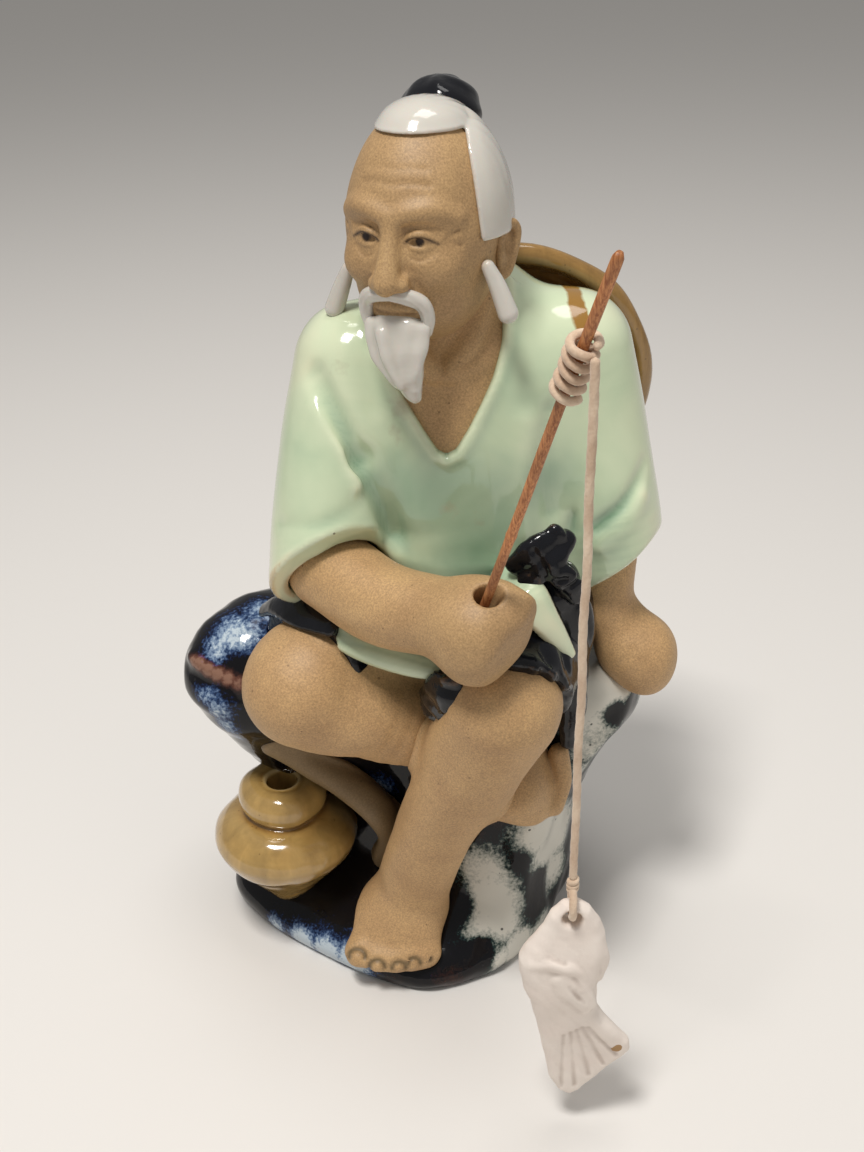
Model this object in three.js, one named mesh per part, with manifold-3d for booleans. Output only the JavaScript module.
import * as THREE from "three";
import { mergeVertices } from "three/addons/utils/BufferGeometryUtils.js";
import Module from "manifold-3d";

// A stoneware fisherman sitting on a glazed rock, with a bamboo rod, a cotton line and a clay fish.
// Every piece of clay is formed by itself and luted to its neighbours with slip before the firing.
// Millimetres, +Z up. The figure faces -Y and its right side is at -X.

const wasm = await Module();
wasm.setup();

const at = (x, y, z) => new THREE.Vector3(x, y, z);
const degrees = THREE.MathUtils.degToRad;

// Driving dimensions
const lutingGap = 0.3; // left between two pieces of clay that touch
const limbSides = 12; // facets round an arm, a leg or a sleeve

const rockHeight = 53; // table to seat
const lipHeight = 5; // the rock's low front lip, on which the jug and the left foot stand
const ventRadius = 6.5; // kiln vent under the rock
const ventDepth = 30;

const jugHeight = 21.5;
const jugRadius = 12.3;
const jugCollarRadius = 7.4;
const jugMouthRadius = 2.7;
const jugMouthDepth = 7;

const thighRadius = 11.2;
const kneeRadius = 9;
const ankleRadius = 5;
const toeRadius = 1.9;
const shortsThickness = 1.6; // cloth round the thighs
const shirtFoot = 8; // seat to the lower edge of the shirt's trunk

const elbowRadius = 6.4;
const wristRadius = 5.1;
const fistRadius = 7.8;
const handRadius = 6.7;
const sleeveRadius = 9;

const torsoWidth = 41;
const torsoDepth = 30;
const collarWidth = 19; // the open neck at the shoulders
const chestInset = 0.7; // bare chest below the face of the shirt

const neckRadius = 7;
const headWidth = 21;
const headDepth = 23;
const headHeight = 30;
const headTurn = -25; // degrees, towards the figure's right
const hairThickness = 1.2;
const topknotRadius = 5.8;
const beardLength = 9.5;
const lockLength = 6;

const hatRadius = 23.2;
const hatHeight = 9;
const hatWall = 2.6;

const sashWidth = 5;
const sashThickness = 2.2;

const rodRadius = 0.75;
const rodLength = 65;
const socketRadius = 1.35; // hole in the fist that holds the rod
const socketDepth = 9;

const threadRadius = 0.55;
const windingTurns = 5;
const windingPitch = 1.56; // along the rod, from one turn to the next
const windingClearance = 0.15; // from the rod to the thread
const windingPlace = 37.6; // along the rod, from the fist's hole to the lowest turn
const lineLength = 71.7; // from the winding to the knot above the fish
const loopRadius = 2.3; // the thread's loop through the fish's mouth
const knotRadius = 1.1;

const fishLength = 38.5;
const fishWidth = 12;
const fishThickness = 6;
const fishTailWidth = 12.5;
const fishHoleRadius = 1.4;
const fishHoleInset = 2.6; // from the snout's tip to the middle of the hole
const fishSnoutThickness = 2.4;

// Places of the body's joints. Heights are counted from the seat or from the lip.
const rightHip = at(-9, 3, rockHeight + 10);
const rightKnee = at(-20, -11, rockHeight + 2.5);
const rightAnkle = at(11, -8.5, rockHeight - 11);
const leftHip = at(14, 0, rockHeight + 10);
const leftKnee = at(9.3, -22.3, rockHeight + 6.5);
const leftAnkle = at(-5.2, -11.8, lipHeight + 11);
const leftToes = at(-8, -18.2, lipHeight - 0.6);
const rightShoulder = at(-10.6, 4, rockHeight + 48.5);
const rightElbow = at(-15, -7.5, rockHeight + 21.5);
const rightFist = at(6.6, -26.5, rockHeight + 22.6);
const leftShoulder = at(21.6, 7, rockHeight + 49);
const leftElbow = at(26.6, 2, rockHeight + 20);
const leftHand = at(32, -2, rockHeight + 2.6);
const headCentre = at(0.6, -0.5, rockHeight + 69.5);
const hatCentre = at(12.2, 19, rockHeight + 39.5);
const jugFoot = at(-26.3, -1.5, lipHeight + 2.6);
const rodHole = at(6.8, -28, rockHeight + 27); // where the rod comes out of the fist
const rodAxis = at(0.215, -0.355, 0.909).normalize();

// Solids from three.js geometry

// A closed geometry as a solid that can be joined and cut.
function solid(geometry) {
  const bare = geometry.clone();
  bare.deleteAttribute("normal");
  bare.deleteAttribute("uv");
  const merged = mergeVertices(bare, 1e-4);
  return new wasm.Manifold(
    new wasm.Mesh({
      numProp: 3,
      vertProperties: merged.attributes.position.array,
      triVerts: new Uint32Array(merged.index.array),
    }),
  );
}

// A solid back as a geometry.
function geometryOf(made) {
  const mesh = made.getMesh();
  const geometry = new THREE.BufferGeometry();
  geometry.setAttribute("position", new THREE.BufferAttribute(mesh.vertProperties, 3));
  geometry.setIndex(new THREE.BufferAttribute(mesh.triVerts, 1));
  geometry.computeVertexNormals();
  return geometry;
}

// The largest body of a solid, without the crumbs that a cut can leave.
function largest(made) {
  return made.decompose().reduce((a, b) => (b.volume() > a.volume() ? b : a));
}

const join = (...made) => made.reduce((a, b) => a.add(b));
const cut = (made, ...others) => largest(others.reduce((a, b) => a.subtract(b), made));
const cutBy = (made, ...pieces) => cut(made, ...pieces.map((piece) => piece(lutingGap)));

// A skin over rings of equal count, closed by a fan at both ends. It always faces outwards.
function loft(rings) {
  const count = rings[0].length;
  const points = rings.flat();
  const middle = (ring) => ring.reduce((sum, p) => sum.add(p), at(0, 0, 0)).divideScalar(count);
  points.push(middle(rings[0]), middle(rings.at(-1)));
  const first = points.length - 2;
  const last = points.length - 1;
  const top = (rings.length - 1) * count;
  const faces = [];
  for (let i = 0; i < count; i++) {
    const next = (i + 1) % count;
    faces.push([first, next, i]);
    faces.push([last, top + i, top + next]);
    for (let a = 0; a < top; a += count) {
      const b = a + count;
      faces.push([a + i, a + next, b + next]);
      faces.push([a + i, b + next, b + i]);
    }
  }
  const volume = faces.reduce(
    (sum, [a, b, c]) => sum + points[a].dot(points[b].clone().cross(points[c])),
    0,
  );
  if (volume < 0) faces.forEach((face) => face.reverse());
  const geometry = new THREE.BufferGeometry().setFromPoints(points);
  geometry.setIndex(faces.flat());
  return geometry;
}

// A limb with round ends along a smooth curve. A station is [centre, half width, half thickness].
// The thickness lies along flat, grow is added all over, and ends says where each end's rings stand.
function limb(
  stations,
  { grow = 0, sides = limbSides, steps = 8, flat = at(0, -1, 0), ends = [0.95, 0.6] } = {},
) {
  const centres = new THREE.CatmullRomCurve3(stations.map(([centre]) => centre));
  const sizes = new THREE.CatmullRomCurve3(
    stations.map(([, wide, thick = wide]) => at(wide + grow, thick + grow, 0)),
  );
  const ring = (t, along, share) => {
    const tangent = centres.getTangent(t);
    const size = sizes.getPoint(t);
    const side = new THREE.Vector3().crossVectors(tangent, flat).normalize();
    const up = new THREE.Vector3().crossVectors(side, tangent).normalize();
    const centre = centres.getPoint(t).addScaledVector(tangent, along * Math.min(size.x, size.y));
    return Array.from({ length: sides }, (_, i) => {
      const angle = (2 * Math.PI * i) / sides;
      return centre
        .clone()
        .addScaledVector(side, size.x * share * Math.cos(angle))
        .addScaledVector(up, size.y * share * Math.sin(angle));
    });
  };
  const share = (along) => Math.sqrt(1 - along * along);
  const rings = ends.map((along) => ring(0, -along, share(along)));
  for (let i = 0; i <= steps; i++) rings.push(ring(i / steps, 0, 1));
  ends.toReversed().forEach((along) => rings.push(ring(1, along, share(along))));
  return solid(loft(rings));
}

// An ellipsoid with half sizes along X, Y and Z, turned about Z.
function ball(centre, [x, y, z], { grow = 0, turn = 0, across = 12, down = 8 } = {}) {
  const geometry = new THREE.SphereGeometry(1, across, down);
  geometry.rotateX(Math.PI / 2);
  geometry.scale(x + grow, y + grow, z + grow);
  geometry.rotateZ(degrees(turn));
  geometry.translate(centre.x, centre.y, centre.z);
  return solid(geometry);
}

// Horizontal ellipses from the bottom up: [height, centre x, centre y, half width, half depth].
function barrel(slices, { grow = 0, sides = 20 } = {}) {
  const last = slices.length - 1;
  return solid(
    loft(
      slices.map(([z, x, y, wide, deep], k) =>
        Array.from({ length: sides }, (_, i) => {
          const angle = (2 * Math.PI * i) / sides;
          const level = z + (k === last ? grow : 0) - (k === 0 ? grow : 0);
          return at(
            x + (wide + grow) * Math.cos(angle),
            y + (deep + grow) * Math.sin(angle),
            level,
          );
        }),
      ),
    ),
  );
}

// A straight round bar from a point along an axis.
function bar(start, axis, radius, length, sides = 14) {
  const geometry = new THREE.CylinderGeometry(radius, radius, length, sides);
  geometry.translate(0, length / 2, 0);
  geometry.applyQuaternion(new THREE.Quaternion().setFromUnitVectors(at(0, 1, 0), axis));
  geometry.translate(start.x, start.y, start.z);
  return solid(geometry);
}

// Rock: a seat with a high left shoulder, a hollow front wall and a low lip.
// Outlines are seen from above, as [x, y], at shares of the height.
const lipOutlines = [
  [0, [-37, 6], [-31.5, -3], [-21, -11.5], [-9, -18.3], [3, -19.5], [12, -13.6],
    [19.5, -1.6], [23, 10], [19.5, 22.5], [4, 28.5], [-16, 27.5], [-31, 19.5]],
  [0.3, [-38.5, 6], [-33, -4.2], [-22, -13], [-9, -20.4], [3.5, -21], [13.2, -14.8],
    [21, -2.4], [24.4, 10], [20.8, 24], [4, 30], [-16.5, 29], [-32.5, 21]],
  [0.85, [-38.2, 6], [-32.6, -4], [-22, -12.8], [-9, -20], [3.5, -20.8], [13.2, -15],
    [21.2, -2.8], [24.6, 9.4], [20.8, 23.6], [4, 29.5], [-16.5, 28.5], [-32, 20.5]],
  [1.25, [-36, 7], [-31, -2], [-20, -9], [-8, -14], [2.5, -17.5], [12.6, -14.4],
    [21.2, -3.2], [24.6, 9], [20.4, 23.2], [4.5, 29], [-15.5, 28], [-30.5, 20]],
];
const wallOutlines = [
  [0.24, [-32, 10], [-28, 6], [-18, 2], [-8, -4], [2, -11], [12, -12.5],
    [21, -3.8], [24.4, 8], [20, 21.5], [5, 28], [-14, 27], [-29, 19]],
  [0.45, [-31, 10], [-27, 5], [-17, 1], [-7, -3.5], [3, -8.5], [12.4, -10.5],
    [21.2, -4], [24.6, 7.5], [20.6, 20.6], [6, 27], [-14, 27], [-28, 19]],
  [0.62, [-34, 7], [-29, 0], [-17, -1.5], [-5, -5], [6, -8], [15.5, -9.5],
    [24.4, -4.8], [28.2, 6.5], [24.4, 19.8], [8, 27], [-15, 27], [-31, 19]],
  [0.82, [-39, 4], [-34, -5], [-22, -6], [-6, -6.5], [8, -8], [19, -9],
    [30, -6], [34.3, 4], [30, 18], [10, 27], [-18, 28], [-36, 18]],
  [0.93, [-41, 3], [-36, -6], [-24, -6.5], [-8, -6], [7, -7.5], [18, -8.5],
    [29.5, -6.5], [34.8, 4], [30, 17.5], [9, 26], [-18, 27], [-38, 17]],
  [1, [-37, 3], [-32, -3.5], [-22, -4.5], [-8, -4], [6, -5.5], [16, -6],
    [25, -4.5], [30, 4], [26, 15], [8, 23], [-17, 24], [-34, 15]],
];

function rock() {
  const slice = (height, outline) => {
    const points = outline.map(([x, y]) => at(x, y, height));
    const curve = new THREE.CatmullRomCurve3(points, true);
    return Array.from({ length: 28 }, (_, i) => curve.getPoint(i / 28));
  };
  const slices = [
    ...lipOutlines.map(([share, ...outline]) => slice(share * lipHeight, outline)),
    ...wallOutlines.map(([share, ...outline]) => slice(share * rockHeight, outline)),
  ];
  const shoulder = limb(
    [
      [at(-33.5, 3, rockHeight - 3), 7.5, 8],
      [at(-29, 5, rockHeight + 1), 9, 7.5],
      [at(-21, 8, rockHeight + 2), 9, 6.5],
    ],
    { flat: at(0, -0.3, 1), steps: 4 },
  );
  const vent = barrel(
    [
      [-1, 0, 9, ventRadius, ventRadius],
      [ventDepth, 0, 9, ventRadius * 0.75, ventRadius * 0.75],
    ],
    { sides: 16 },
  );
  const body = cut(join(solid(loft(slices)), shoulder), vent);
  return cutBy(body, jug, clayStrip, leftLeg, rightLeg, shorts, shirt, leftForearm, sashTail);
}

// A strip of bare clay that braces the wall behind the jug.
function clayStrip(grow = 0) {
  const whole = limb(
    [
      [at(-26, -2.6, rockHeight - 14), 2.4, 2],
      [at(-20.5, -3.2, rockHeight - 18.4), 2.6, 2.2],
      [at(-15.5, -4.6, rockHeight - 21.6), 2.6, 2.2],
      [at(-10.6, -6.8, rockHeight - 25.4), 2.6, 2.2],
      [at(-9, -6.4, rockHeight - 32), 2.2, 2],
      [at(-11.5, -4.6, rockHeight - 38.5), 2, 1.8],
    ],
    { grow, steps: 12, sides: 8, flat: at(0.3, -1, 0.3) },
  );
  return grow ? whole : cutBy(whole, jug, leftLeg, rightLeg);
}

// Wine jug with a collar and a small mouth, standing on the lip.
function jug(grow = 0) {
  const collar = jugHeight * 0.24;
  const outside = [
    [0, 0],
    [0.5 * jugRadius, 0],
    [0.68 * jugRadius, 0.12 * jugHeight],
    [0.9 * jugRadius, 0.34 * jugHeight],
    [jugRadius, 0.52 * jugHeight],
    [0.95 * jugRadius, 0.64 * jugHeight],
    [0.78 * jugRadius, jugHeight - collar * 1.1],
    [jugCollarRadius - 0.5, jugHeight - collar * 0.95],
    [jugCollarRadius, jugHeight - collar * 0.6],
    [jugCollarRadius - 0.3, jugHeight - collar * 0.2],
    [jugCollarRadius - 1.5, jugHeight],
  ];
  const mouth = [
    [jugMouthRadius, jugHeight],
    [jugMouthRadius, jugHeight - jugMouthDepth],
    [0, jugHeight - jugMouthDepth],
  ];
  const grown = outside.map(([r, z]) => [r ? r + grow : 0, z ? z + grow : -grow]);
  const profile = grow ? [...grown, [0, jugHeight + grow]] : [...outside, ...mouth];
  const geometry = new THREE.LatheGeometry(
    profile.map(([r, z]) => new THREE.Vector2(r, z)),
    22,
  );
  geometry.rotateX(Math.PI / 2);
  geometry.translate(jugFoot.x, jugFoot.y, jugFoot.z);
  return solid(geometry);
}

// Left leg, planted in front with its foot on the lip.
function leftLeg(grow = 0) {
  const shin = limb(
    [
      [leftKnee, kneeRadius],
      [leftKnee.clone().lerp(leftAnkle, 0.3), kneeRadius - 0.7],
      [leftKnee.clone().lerp(leftAnkle, 0.65), ankleRadius + 1.3],
      [leftAnkle, ankleRadius],
      [leftAnkle.clone().add(at(-0.4, 0.8, -5.5)), ankleRadius, ankleRadius - 0.4],
    ],
    { grow, steps: 9, flat: at(0, -1, 0.5), ends: [0.96, 0.8, 0.45] },
  );
  const foot = limb(
    [
      [leftToes.clone().add(at(2.4, 6.5, 4.6)), ankleRadius + 0.4, 4],
      [leftToes.clone().add(at(0.8, 3, 3.4)), 6.4, 3],
      [leftToes.clone().add(at(0, 0, 2.3)), 7.4, 2],
    ],
    { grow, steps: 4, flat: at(0, 0, 1) },
  );
  const toes = [-6.3, -3, 0, 2.8, 5.3].map((across, i) => {
    const radius = toeRadius * (1.16 - 0.09 * i);
    const centre = leftToes.clone().add(at(across, -0.9 + 0.035 * across * across, radius + 0.2));
    return ball(centre, [radius, radius * 1.3, radius], { grow, across: 8, down: 5 });
  });
  const whole = join(shin, foot, ...toes);
  return grow ? whole : cutBy(whole, rightForearm);
}

// Right leg, folded flat on the seat with its foot behind the left shin.
function rightLeg(grow = 0) {
  const shin = limb(
    [
      [rightKnee, kneeRadius + 0.5],
      [rightKnee.clone().lerp(rightAnkle, 0.4), kneeRadius - 1],
      [rightKnee.clone().lerp(rightAnkle, 0.75), ankleRadius + 1],
      [rightAnkle, ankleRadius],
    ],
    { grow, steps: 7, flat: at(0.2, -1, 0.6), ends: [0.96, 0.8, 0.45] },
  );
  const foot = limb(
    [
      [rightAnkle, ankleRadius, ankleRadius - 0.4],
      [rightAnkle.clone().add(at(3.4, -3, -4)), 6.2, 4],
      [rightAnkle.clone().add(at(4.6, -4, -7.2)), 5.8, 3.2],
    ],
    { grow, steps: 3, flat: at(1, -0.5, 0.4) },
  );
  const whole = join(shin, foot);
  return grow ? whole : cutBy(whole, leftLeg, rightForearm);
}

// Shorts: the seat and two short legs that end before the knees.
function shorts(grow = 0) {
  const wide = torsoWidth / 2;
  const deep = torsoDepth / 2;
  const seat = barrel(
    [
      [rockHeight - 1.5, 2.5, 8, wide - 1.5, deep - 2],
      [rockHeight + 3, 2.5, 8, wide + 1, deep + 0.5],
      [rockHeight + shirtFoot - lutingGap, 3, 7, wide + 0.6, deep],
    ],
    { grow, sides: 16 },
  );
  const leg = (hip, knee, ends, hem) =>
    limb(
      [0, 0.55, 1].map((share) => [
        hip.clone().lerp(knee, share * ends),
        thighRadius + (hem - thighRadius) * share + shortsThickness,
      ]),
      { grow, steps: 3 },
    );
  const rightLegOf = leg(rightHip, rightKnee, 0.5, kneeRadius + 1.6);
  const leftLegOf = leg(leftHip, leftKnee, 0.9, kneeRadius - lutingGap);
  const whole = join(seat, rightLegOf, leftLegOf);
  if (grow) return whole;
  return cutBy(whole, leftLeg, rightLeg, shirt, leftForearm, rightForearm, sashKnot, sashTail);
}

// Shirt: the trunk, and the hem that hangs over the lap.
function trunk(grow = 0) {
  const wide = torsoWidth / 2;
  const deep = torsoDepth / 2;
  return barrel(
    [
      [rockHeight + shirtFoot, 4, 3.5, wide - 0.3, deep + 0.5],
      [rockHeight + 14, 4, 4, wide + 0.3, deep + 0.8],
      [rockHeight + 22, 4.5, 4.5, wide - 0.3, deep],
      [rockHeight + 31, 4.5, 5.5, wide - 0.6, deep - 0.6],
      [rockHeight + 40, 5, 6, wide, deep - 0.8],
      [rockHeight + 48, 5.5, 6.5, wide - 0.6, deep - 1.6],
      [rockHeight + 54, 5.5, 7, wide - 4, deep - 3.4],
      [rockHeight + 59, 5, 8, wide - 9.5, deep - 6],
      [rockHeight + 62, 4.5, 8, wide - 13.5, deep - 8.6],
    ],
    { grow },
  );
}

function shirt(grow = 0) {
  const lap = limb(
    [
      [at(-3, -2, rockHeight + 15), 13, 6],
      [at(-4, -11.5, rockHeight + 14), 11.5, 4],
      [at(-6, -17, rockHeight + 11.5), 8.5, 2.4],
    ],
    { grow, steps: 5, flat: at(0, -0.4, 1) },
  );
  const flap = limb(
    [
      [at(9.5, -13.5, rockHeight + 26), 4.5, 3],
      [at(13.2, -18, rockHeight + 23.5), 2.8, 1.6],
      [at(15.6, -19, rockHeight + 18.5), 2.1, 1.2],
      [at(18.6, -18.6, rockHeight + 13), 1, 0.9],
    ],
    { grow, steps: 6, sides: 8, flat: at(0.3, -1, 0.6) },
  );
  const whole = join(trunk(grow), lap, flap);
  if (grow) return whole;
  const opened = cutBy(whole, neckOpening, neckAndChest, head, hair, beard);
  return cutBy(opened, rightForearm, leftForearm, leftLeg, rightLeg);
}

// The open neck, a wedge that is as wide as the opening and ends in a point on the breast.
function neckOpening(grow = 0) {
  const half = collarWidth / 2 + grow;
  const point = rockHeight + 39 - 2 * grow;
  const middle = 1.9;
  const outline = new THREE.Shape();
  outline.moveTo(middle + 0.5, point);
  outline.lineTo(middle + half * 0.75, point + 11);
  outline.quadraticCurveTo(middle + half, point + 16, middle + half, point + 26);
  outline.lineTo(middle - half, point + 26);
  outline.quadraticCurveTo(middle - half, point + 16, middle - half * 0.62, point + 9);
  outline.closePath();
  const geometry = new THREE.ExtrudeGeometry(outline, {
    depth: torsoDepth / 2 + 3,
    bevelEnabled: false,
    curveSegments: 4,
  });
  geometry.rotateX(Math.PI / 2);
  geometry.translate(0, grow, 0);
  return solid(geometry);
}

// Bare neck and breast, one lump of clay under the head and behind the open neck.
function neckAndChest(grow = 0) {
  const chest = trunk(-chestInset).intersect(neckOpening(grow));
  const neck = limb(
    [
      [at(4.5, 4.5, rockHeight + 47), neckRadius - 0.5],
      [at(3.5, 3, rockHeight + 55), neckRadius],
      [at(2, 1.5, rockHeight + 60), neckRadius + 0.3],
    ],
    { grow, steps: 4 },
  );
  const whole = join(chest, neck);
  return grow ? whole : cutBy(whole, head, beard);
}

// Short wide sleeves that hang from the shoulders to the elbows.
function sleeve(shoulder, elbow, bulge, grow) {
  const wide = sleeveRadius;
  return limb(
    [
      [shoulder, wide - 0.4, wide + 0.4],
      [shoulder.clone().lerp(elbow, 0.4).add(at(bulge, 0.6, 0)), wide - 0.2, wide + 1],
      [shoulder.clone().lerp(elbow, 0.8).add(at(bulge * 0.8, 0, 0)), wide - 0.4, wide + 0.8],
      [elbow.clone().add(at(0, -0.5, 1.5)), wide - 1, wide - 0.4],
    ],
    { grow, steps: 6 },
  );
}

function rightSleeve(grow = 0) {
  const whole = sleeve(rightShoulder, rightElbow, -0.4, grow);
  if (grow) return whole;
  return cutBy(whole, shirt, neckAndChest, rightForearm, rightLeg, shorts, head, hair, rightLock, beard);
}

function leftSleeve(grow = 0) {
  const whole = sleeve(leftShoulder, leftElbow, 0.4, grow);
  if (grow) return whole;
  return cutBy(whole, shirt, neckAndChest, leftForearm, leftLeg, shorts, head, hair, leftLock);
}

// Right forearm across the lap, with a fist that is bored for the rod.
function rightForearm(grow = 0) {
  const arm = limb(
    [
      [rightElbow, elbowRadius],
      [rightElbow.clone().lerp(rightFist, 0.35).add(at(0, -1.5, -1.8)), elbowRadius - 0.4],
      [rightElbow.clone().lerp(rightFist, 0.7).add(at(0, -1, -1)), wristRadius + 0.4],
      [rightFist, wristRadius + 0.5],
    ],
    { grow, steps: 8, flat: at(0, -0.3, 1) },
  );
  const fist = ball(rightFist, [fistRadius, fistRadius * 0.93, fistRadius * 0.93], { grow });
  if (grow) return join(arm, fist);
  const bottom = rodHole.clone().addScaledVector(rodAxis, -socketDepth);
  return cut(join(arm, fist), bar(bottom, rodAxis, socketRadius, socketDepth + fistRadius));
}

// Left forearm and the hand that leans on the rock.
function leftForearm(grow = 0) {
  const arm = limb(
    [
      [leftElbow, elbowRadius - 0.8],
      [leftElbow.clone().lerp(leftHand, 0.5).add(at(-2, -0.5, 0)), wristRadius - 0.3],
      [leftHand.clone().add(at(-2, 0.5, 3.5)), wristRadius - 0.5],
    ],
    { grow, steps: 5 },
  );
  const hand = ball(leftHand, [handRadius, handRadius * 1.08, handRadius * 0.85], { grow });
  return join(arm, hand);
}

// A point on the head: forward, to its left and up from its centre.
function onHead(forward, left, up) {
  return at(left, -forward, up).applyAxisAngle(at(0, 0, 1), degrees(headTurn)).add(headCentre);
}

// Head with a lower jaw and a nose.
function head(grow = 0) {
  const skull = ball(headCentre, [headWidth / 2, headDepth / 2, headHeight / 2], {
    grow,
    turn: headTurn,
    across: 18,
    down: 12,
  });
  const jaw = ball(
    onHead(headDepth * 0.14, 0, -headHeight * 0.27),
    [headWidth * 0.35, headDepth * 0.3, headHeight * 0.21],
    { grow, turn: headTurn },
  );
  const nose = limb(
    [
      [onHead(headDepth * 0.45, 0, headHeight * 0.11), 1.4],
      [onHead(headDepth * 0.52, 0, -headHeight * 0.06), 2.1],
    ],
    { grow, steps: 2, sides: 8 },
  );
  return join(skull, jaw, nose);
}

// Ears, one on each side.
function ear(side, grow) {
  const out = side * headWidth * 0.5;
  const lock = side < 0 ? rightLock : leftLock;
  const whole = limb(
    [
      [onHead(-0.8, out + side * 0.5, headHeight * 0.02), 1.3, 2],
      [onHead(-0.6, out + side * 0.7, -headHeight * 0.09), 1.5, 2.1],
      [onHead(-0.2, out - side * 0.3, -headHeight * 0.19), 1.2, 1.5],
    ],
    { grow, steps: 3, sides: 8 },
  );
  return grow ? whole : cutBy(whole, head, hair, lock);
}
const rightEar = (grow = 0) => ear(-1, grow);
const leftEar = (grow = 0) => ear(1, grow);

// Hair: a thin cap over the skull, cut back to a straight line round the face.
function hair(grow = 0) {
  const shell = hairThickness + lutingGap;
  const half = [headWidth / 2 + shell, headDepth / 2 + shell, headHeight / 2 + shell];
  const cap = ball(headCentre, half, { grow, turn: headTurn, across: 20, down: 14 });
  const block = (wide, forward, up) => {
    const geometry = new THREE.BoxGeometry(wide - 2 * grow, headDepth, headHeight);
    geometry.translate(0, -headDepth / 2 - forward - grow, up - headHeight / 2 - grow);
    geometry.rotateZ(degrees(headTurn));
    geometry.translate(headCentre.x, headCentre.y, headCentre.z);
    return solid(geometry);
  };
  const leftEdge = new THREE.BoxGeometry(2 * headWidth, 2 * headDepth, 2 * headHeight);
  leftEdge.rotateY(degrees(-8));
  leftEdge.translate(headCentre.x - headWidth * 0.67 - grow, headCentre.y - headDepth / 2, headCentre.z);
  const face = block(headWidth * 3, -1, headHeight * 0.42).intersect(solid(leftEdge));
  const cheeks = block(headWidth * 2, 2, 0);
  const nape = block(headWidth * 2, -headDepth, -headHeight * 0.16);
  const whole = cut(cap, face, cheeks, nape, block(headWidth * 2, 0, -headHeight * 0.16));
  return grow ? whole : cutBy(whole, head, neckAndChest);
}

function topknot(grow = 0) {
  const centre = headCentre.clone().add(at(2.2, 7, headHeight * 0.42));
  const size = [topknotRadius, topknotRadius, topknotRadius * 0.85];
  const whole = ball(centre, size, { grow, across: 14, down: 8 });
  return grow ? whole : cutBy(whole, hair, head);
}

function moustache(grow = 0) {
  const out = headDepth * 0.5;
  const whole = limb(
    [
      [onHead(out - 1.2, -4.2, -headHeight * 0.32), 0.9],
      [onHead(out - 0.2, -3.8, -headHeight * 0.21), 1.1],
      [onHead(out + 0.6, 0, -headHeight * 0.17), 1.2],
      [onHead(out - 0.2, 3.8, -headHeight * 0.21), 1.1],
      [onHead(out - 1.2, 4.2, -headHeight * 0.32), 0.9],
    ],
    { grow, steps: 10, sides: 8 },
  );
  return grow ? whole : cutBy(whole, head, beard);
}

function beard(grow = 0) {
  const out = headDepth * 0.48;
  const low = -headHeight * 0.36;
  const whole = limb(
    [
      [onHead(out - 0.6, 0, low), 3.9, 2],
      [onHead(out - 0.2, 0.5, low - beardLength * 0.35), 3.6, 2.3],
      [onHead(out + 0.2, 1.7, low - beardLength * 0.7), 2.3, 1.9],
      [onHead(out, 2.9, low - beardLength), 0.9, 1],
    ],
    { grow, steps: 7, sides: 12 },
  );
  return grow ? whole : cutBy(whole, head);
}

// Long locks that hang before the ears.
function lock(side, top, grow) {
  const out = side * headWidth * 0.5;
  const whole = limb(
    [
      [onHead(3.6, out - side * 0.3, top), 0.9],
      [onHead(3.3, out + side * 1, top - lockLength * 0.45), 1.2],
      [onHead(3.3, out + side * 2.4, top - lockLength), 1.4],
    ],
    { grow, steps: 5, sides: 8 },
  );
  return grow ? whole : cutBy(whole, head, hair);
}
const rightLock = (grow = 0) => lock(-1, -headHeight * 0.2, grow);
const leftLock = (grow = 0) => lock(1, -headHeight * 0.13, grow);

// Straw hat slung on the back, a shallow cone with its open side against the shirt.
function hat() {
  const profile = [
    [0, hatHeight],
    [hatRadius * 0.3, hatHeight * 0.82],
    [hatRadius * 0.7, hatHeight * 0.42],
    [hatRadius, 0],
    [hatRadius - 0.3, -hatWall * 0.8],
    [hatRadius - 1.6, -hatWall],
    [hatRadius * 0.68, hatHeight * 0.42 - hatWall],
    [hatRadius * 0.28, hatHeight * 0.82 - hatWall],
    [0, hatHeight - hatWall],
  ];
  const points = profile.map(([r, height]) => new THREE.Vector2(r, height)).reverse();
  const geometry = new THREE.LatheGeometry(points, 26);
  geometry.rotateX(degrees(8));
  geometry.translate(hatCentre.x, hatCentre.y, hatCentre.z);
  return cutBy(solid(geometry), shirt, leftSleeve, rightSleeve, head, hair, topknot, neckAndChest);
}

// Sash: a knot at the left of the waist, and its tail over the thigh.
function sashKnot(grow = 0) {
  const whole = limb(
    [
      [at(13.5, -15, rockHeight + 29), sashWidth * 0.55, sashThickness],
      [at(15.5, -16, rockHeight + 24.5), sashWidth * 0.9, sashThickness * 1.25],
      [at(17.5, -15.5, rockHeight + 20), sashWidth * 0.7, sashThickness],
    ],
    { grow, steps: 5, sides: 10 },
  );
  return grow ? whole : cutBy(whole, rightForearm, leftLeg, shirt);
}

function sashTail(grow = 0) {
  const whole = limb(
    [
      [at(18.5, -15, rockHeight + 16.5), sashWidth * 0.55, sashThickness * 0.9],
      [at(21, -13.5, rockHeight + 10), sashWidth * 0.55, sashThickness * 0.8],
      [at(21.8, -12.5, rockHeight + 1), sashWidth * 0.5, sashThickness * 0.8],
      [at(21.4, -11.5, rockHeight - 9), sashWidth * 0.4, sashThickness * 0.8],
    ],
    { grow, steps: 8, sides: 10 },
  );
  if (grow) return whole;
  return cutBy(whole, sashKnot, rightForearm, leftLeg, rightLeg, shirt, leftSleeve, leftForearm);
}

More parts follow.
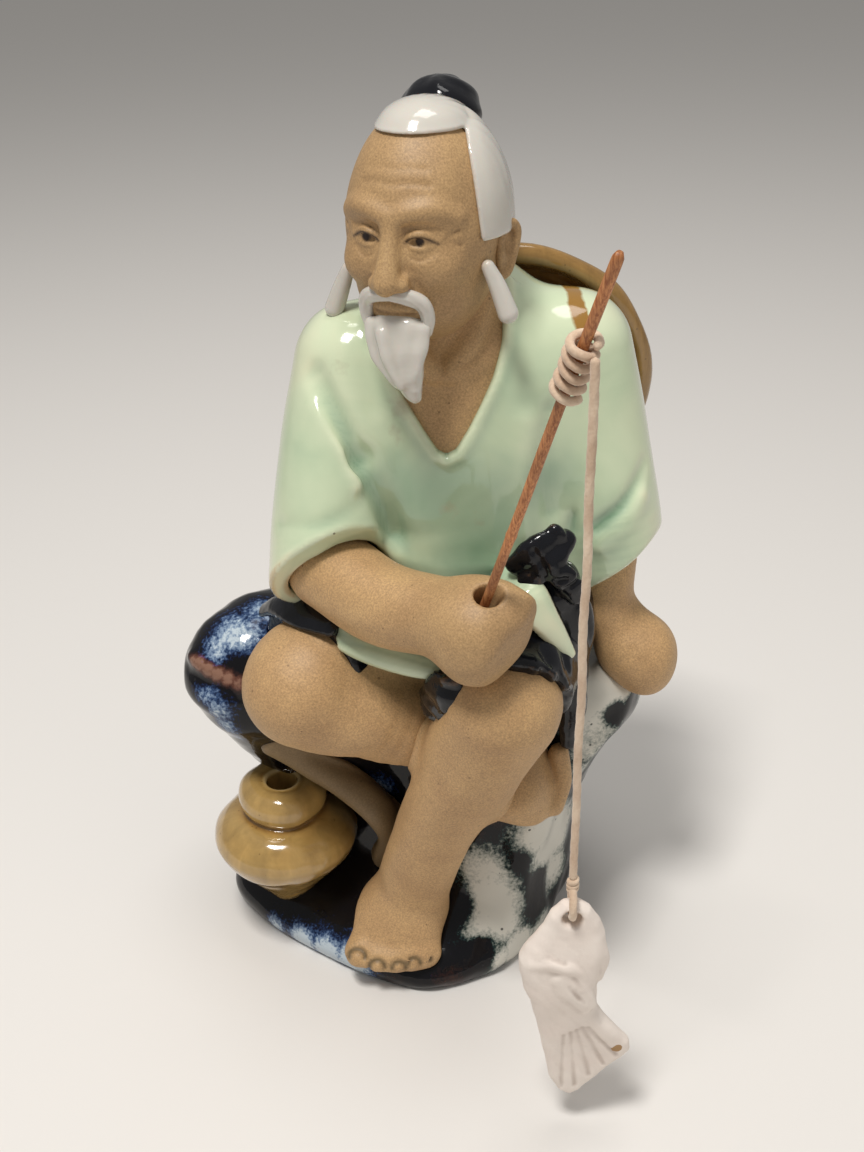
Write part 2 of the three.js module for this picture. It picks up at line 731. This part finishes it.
// Fish of pinched clay: a flat snout with a hole for the line, a swelling body, a fin and a fan tail.
// Its own frame has the hole's middle at the origin, X along its width and Y through the hole.
function fish() {
  const along = (share) => fishHoleInset - share * fishLength;
  const snout = new THREE.CylinderGeometry(fishHoleInset, fishHoleInset, fishSnoutThickness, 20);
  const half = fishWidth / 2;
  const thick = fishThickness / 2;
  const body = limb(
    [
      [at(0, 0, along(0.17)), half * 0.68, thick * 0.5],
      [at(-1, 0, along(0.31)), half, thick],
      [at(-1, 0, along(0.43)), half * 0.9, thick * 0.95],
      [at(-0.6, 0, along(0.56)), half * 0.72, thick * 0.7],
      [at(0.6, 0, along(0.66)), half * 0.62, thick * 0.5],
    ],
    { steps: 7, sides: 12 },
  );
  const tailOutline = new THREE.Shape();
  const wide = fishTailWidth;
  tailOutline.moveTo(-wide * 0.3, along(0.58));
  tailOutline.lineTo(-wide * 0.2, along(0.87));
  tailOutline.quadraticCurveTo(-wide * 0.12, along(0.99), wide * 0.08, along(0.995));
  tailOutline.lineTo(wide * 0.48, along(0.85));
  tailOutline.quadraticCurveTo(wide * 0.8, along(0.77), wide * 0.68, along(0.7));
  tailOutline.lineTo(wide * 0.3, along(0.55));
  const tail = new THREE.ExtrudeGeometry(tailOutline, {
    depth: fishSnoutThickness * 0.5,
    bevelThickness: 0.5,
    bevelSize: 0.5,
    bevelSegments: 1,
    curveSegments: 4,
  });
  tail.rotateX(Math.PI / 2);
  tail.translate(0, fishSnoutThickness * 0.25, 0);
  const fin = limb(
    [
      [at(-0.5, -thick * 0.8, along(0.3)), 1.6, 0.8],
      [at(1.8, -thick * 0.9, along(0.42)), 2.2, 0.7],
    ],
    { steps: 2, sides: 8 },
  );
  const neck = ball(at(0, 0, along(0.12)), [half * 0.6, fishSnoutThickness * 0.62, 3.4]);
  const hole = bar(at(0, -fishThickness, 0), at(0, 1, 0), fishHoleRadius, 2 * fishThickness, 20);
  return cut(join(solid(snout), neck, body, solid(tail), fin), hole);
}

// Materials
const finish = (color, roughness, metalness = 0) =>
  new THREE.MeshStandardMaterial({ color, roughness, metalness });
const stoneware = finish(0xb48a58, 0.85);
const celadon = finish(0xc9dcb8, 0.15);
const blackGlaze = finish(0x0d0e12, 0.15);
const rockGlaze = finish(0x1c2233, 0.15);
const amberGlaze = finish(0xa87a35, 0.2);
const whiteGlaze = finish(0xe6dfd2, 0.2);
const bamboo = finish(0xa8582b, 0.6);
const cotton = finish(0xdcb9a4, 0.95);
const fishPaint = finish(0xeeded6, 0.8);

const figure = new THREE.Group();

function place(group, name, geometry, material) {
  const mesh = new THREE.Mesh(geometry, material.clone());
  mesh.name = name;
  group.add(mesh);
  return mesh;
}

const clay = [
  ["rock", rock, rockGlaze],
  ["clay_strip", clayStrip, stoneware],
  ["jug", jug, amberGlaze],
  ["left_leg", leftLeg, stoneware],
  ["right_leg", rightLeg, stoneware],
  ["shorts", shorts, blackGlaze],
  ["shirt", shirt, celadon],
  ["right_sleeve", rightSleeve, celadon],
  ["left_sleeve", leftSleeve, celadon],
  ["right_forearm", rightForearm, stoneware],
  ["left_forearm", leftForearm, stoneware],
  ["neck", neckAndChest, stoneware],
  ["head", head, stoneware],
  ["right_ear", rightEar, stoneware],
  ["left_ear", leftEar, stoneware],
  ["hair", hair, whiteGlaze],
  ["topknot", topknot, blackGlaze],
  ["moustache", moustache, whiteGlaze],
  ["beard", beard, whiteGlaze],
  ["right_lock", rightLock, whiteGlaze],
  ["left_lock", leftLock, whiteGlaze],
  ["hat", hat, amberGlaze],
  ["sash_knot", sashKnot, blackGlaze],
  ["sash_tail", sashTail, blackGlaze],
];
for (const [name, piece, material] of clay) place(figure, name, geometryOf(piece()), material);

// Rod: a thin split of bamboo standing in the fist. Its group's Z runs up the rod.
const rodGroup = new THREE.Group();
rodGroup.position.copy(rodHole);
rodGroup.quaternion.setFromUnitVectors(at(0, 0, 1), rodAxis);
figure.add(rodGroup);

const rodGeometry = new THREE.CylinderGeometry(rodRadius, rodRadius, rodLength, 10);
rodGeometry.rotateX(Math.PI / 2);
const rod = place(rodGroup, "rod", rodGeometry, bamboo);
rod.position.z = lutingGap - socketDepth + rodLength / 2;

// Winding: the line's upper end, wound round the rod in one unbroken length.
const turnRadius = rodRadius + windingClearance + threadRadius;
const turnSteps = 24;
const windingEnd = 30; // degrees round the rod at which the line leaves it, in front
const windingPoints = [];
for (let i = windingTurns * turnSteps; i >= 0; i--) {
  const angle = (2 * Math.PI * i) / turnSteps - degrees(windingEnd);
  const height = windingPlace + windingPitch * (windingTurns - i / turnSteps);
  windingPoints.push(at(turnRadius * Math.cos(angle), turnRadius * Math.sin(angle), height));
}
const runOn = (end, before) => end.clone().add(end.clone().sub(before).setLength(2 * threadRadius));
windingPoints.unshift(runOn(windingPoints[0], windingPoints[1]));
windingPoints.push(runOn(windingPoints.at(-1), windingPoints.at(-2)));

// The least gap between the sides of a thread at points that are at least so many steps apart.
function leastGap(points, apart) {
  let least = Infinity;
  for (let i = 0; i < points.length; i++) {
    for (let j = i + apart; j < points.length; j++) {
      least = Math.min(least, points[i].distanceTo(points[j]) - 2 * threadRadius);
    }
  }
  return least;
}
console.log(`winding's least gap to itself: ${leastGap(windingPoints, turnSteps / 2).toFixed(2)} mm`);

// A thread of round section through given points, closed at both ends.
function thread(points, sides) {
  const rings = points.map((point, i) => {
    const before = points[Math.max(i - 1, 0)];
    const after = points[Math.min(i + 1, points.length - 1)];
    const tangent = after.clone().sub(before).normalize();
    const up = new THREE.Vector3().crossVectors(tangent, at(point.x, point.y, 0)).normalize();
    const side = new THREE.Vector3().crossVectors(up, tangent).normalize();
    return Array.from({ length: sides }, (_, k) => {
      const angle = (2 * Math.PI * k) / sides;
      return point
        .clone()
        .addScaledVector(side, threadRadius * Math.cos(angle))
        .addScaledVector(up, threadRadius * Math.sin(angle));
    });
  });
  return loft(rings);
}
place(rodGroup, "line_winding", thread(windingPoints, 6), cotton);

// Line: hangs from the end of the winding, with its group's Z up along the thread.
rodGroup.updateMatrixWorld(true);
const tie = rodGroup.localToWorld(windingPoints.at(-1).clone());
const lineGroup = new THREE.Group();
lineGroup.position.copy(tie).add(at(0, 0, -threadRadius - lutingGap));
figure.add(lineGroup);

const linePath = new THREE.LineCurve3(at(0, 0, 0), at(0, 0, -lineLength));
const section = new THREE.Shape();
section.absarc(0, 0, threadRadius, 0, 2 * Math.PI);
const lineGeometry = new THREE.ExtrudeGeometry(section, {
  extrudePath: linePath,
  steps: Math.round(lineLength / (5 * threadRadius)),
  curveSegments: 4,
});
place(lineGroup, "fishing_line", lineGeometry, cotton);

// Loop: tied through the fish's mouth, with its knot at the line's end.
const knotHeight = -lineLength - lutingGap - knotRadius;
const loopGeometry = new THREE.TorusGeometry(loopRadius, threadRadius, 6, 20);
loopGeometry.rotateY(Math.PI / 2);
loopGeometry.translate(0, 0, knotHeight - loopRadius);
const loop = join(solid(loopGeometry), ball(at(0, 0, knotHeight), [knotRadius, knotRadius, knotRadius]));
place(lineGroup, "line_loop", geometryOf(loop), cotton);

const fishMesh = place(lineGroup, "fish", geometryOf(fish()), fishPaint);
const loopSag = 0.2; // the loop's lowest point above the middle of the fish's hole
fishMesh.position.z = knotHeight - 2 * loopRadius - loopSag;

// The part's origin is under the middle of everything but the thread.
const cords = ["line_winding", "fishing_line", "line_loop"];
const extent = new THREE.Box3();
figure.updateMatrixWorld(true);
figure.traverse((object) => {
  if (object.isMesh && !cords.includes(object.name)) extent.expandByObject(object, true);
});
const centre = extent.getCenter(at(0, 0, 0));
figure.position.set(-centre.x, -centre.y, -extent.min.z);

export default figure;
